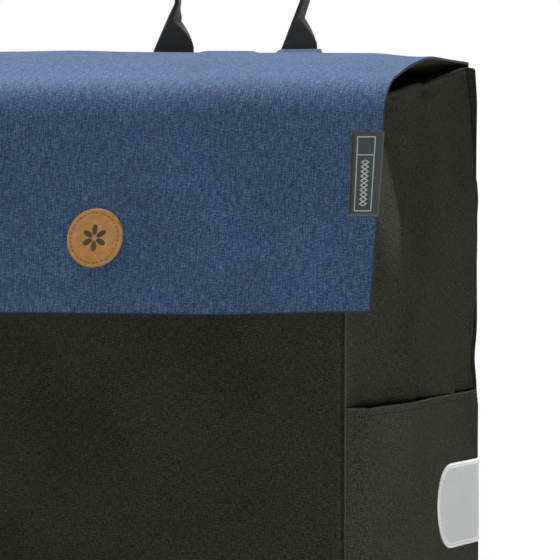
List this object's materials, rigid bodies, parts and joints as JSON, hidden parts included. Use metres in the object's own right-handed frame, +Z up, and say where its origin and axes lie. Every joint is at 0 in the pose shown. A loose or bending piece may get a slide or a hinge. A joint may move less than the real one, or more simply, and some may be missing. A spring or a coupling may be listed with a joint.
{
  "type": "shopping trolley",
  "caption": "Two-wheeled shopping trolley: soft bag with a hinged blue flap, side pockets and carry loop on a tube frame with a telescopic handle.",
  "frame": {"origin": "on the floor, under the middle of the whole object's box with the handle lowered", "axes": "+Z up, -Y the bag's front with the flap, +Y the frame and wheels behind, +X the right side seen from the front"},
  "size_m": [0.499, 0.417, 0.7545],
  "materials": {
    "black_cloth": "plain woven polyester, matt",
    "blue_cloth": "melange plain weave, matt",
    "leather": "vegetable tanned, satin",
    "label_cloth": "damask woven tape",
    "reflective_film": "silver reflective film",
    "webbing": "ribbed polyester webbing",
    "touch_fastener": "hook and loop",
    "board": "sheet plastic",
    "frame_tube": "satin anodised",
    "dark_tube": "black powder coat",
    "black_plastic": "fine textured moulding",
    "lever_plastic": "satin moulding",
    "rim_plastic": "grey moulding",
    "tyre_rubber": "foam rubber",
    "grip_rubber": "soft rubber",
    "steel": "zinc plated"
  },
  "bodies": {
    "chassis": {"bag_front_panel": "black_cloth", "bag_back_panel": "black_cloth", "bag_base_panel": "black_cloth", "bag_side_panel_left": "black_cloth", "bag_side_panel_right": "black_cloth", "side_pocket_left": "black_cloth", "side_pocket_right": "black_cloth", "reflective_patch_left": "reflective_film", "reflective_patch_right": "reflective_film", "frame_loops": "webbing", "strap_tabs": "webbing", "closure_loop_pads": "touch_fastener", "base_board": "board", "outer_tube_left": "frame_tube", "outer_tube_right": "frame_tube", "cross_brace": "frame_tube", "support_frame": "dark_tube", "shelf_rods": "dark_tube", "top_bridge": "black_plastic", "axle_bracket_left": "black_plastic", "axle_bracket_right": "black_plastic", "axle_sleeves": "black_plastic", "hub_spacers": "black_plastic", "foot_pad_left": "grip_rubber", "foot_pad_right": "grip_rubber", "axle": "steel", "axle_washers": "steel", "axle_clips": "steel", "frame_bolts": "steel", "frame_nuts": "steel", "clamp_bolts": "steel", "clamp_nuts": "steel", "clamp_washers": "steel", "lever_pins": "steel", "bearing_inner_rings": "steel"},
    "handle": {"handle_bow": "frame_tube", "handle_grip": "grip_rubber", "glide_plugs": "black_plastic"},
    "flap_top": {"flap_top_panel": "blue_cloth"},
    "flap_front": {"flap_front_panel": "blue_cloth", "leather_badge": "leather", "woven_label": "label_cloth", "closure_hook_pads": "touch_fastener"},
    "strap": {"carry_strap": "webbing"},
    "lever_left": {"clamp_lever_left": "lever_plastic"},
    "wheel_left": {"rim_left": "rim_plastic", "tyre_left": "tyre_rubber", "bearing_outer_rings_left": "steel", "hub_cap_left": "black_plastic"},
    "lever_right": {"clamp_lever_right": "lever_plastic"},
    "wheel_right": {"rim_right": "rim_plastic", "tyre_right": "tyre_rubber", "bearing_outer_rings_right": "steel", "hub_cap_right": "black_plastic"}
  },
  "joints": [
    {"name": "handle_slide", "type": "slide", "parent": "chassis", "child": "handle", "axis": [0, 0, 1], "range_m": [0, 0.35]},
    {"name": "flap_open", "type": "hinge", "parent": "chassis", "child": "flap_top", "pos_m": [0, 0.0725, 0.65], "axis": [-1, 0, 0], "range_deg": [0, 88]},
    {"name": "flap_front_lift", "type": "hinge", "parent": "flap_top", "child": "flap_front", "pos_m": [0, -0.16251, 0.63073], "axis": [-1, 0, 0], "range_deg": [0, 75]},
    {"name": "strap_swing", "type": "hinge", "parent": "chassis", "child": "strap", "pos_m": [0, 0.0745, 0.646], "axis": [-1, 0, 0], "range_deg": [0, 30], "stiffness_Nm_per_rad": 0.06},
    {"name": "lever_left_open", "type": "hinge", "parent": "chassis", "child": "lever_left", "pos_m": [-0.1381, 0.1345, 0.577], "axis": [0, 1, 0], "range_deg": [0, 110]},
    {"name": "wheel_left_spin", "type": "hinge", "parent": "chassis", "child": "wheel_left", "pos_m": [-0.222, 0.1085, 0.1], "axis": [1, 0, 0], "continuous": true},
    {"name": "lever_right_open", "type": "hinge", "parent": "chassis", "child": "lever_right", "pos_m": [0.1381, 0.1345, 0.577], "axis": [0, -1, 0], "range_deg": [0, 110]},
    {"name": "wheel_right_spin", "type": "hinge", "parent": "chassis", "child": "wheel_right", "pos_m": [0.222, 0.1085, 0.1], "axis": [1, 0, 0], "continuous": true}
  ]
}
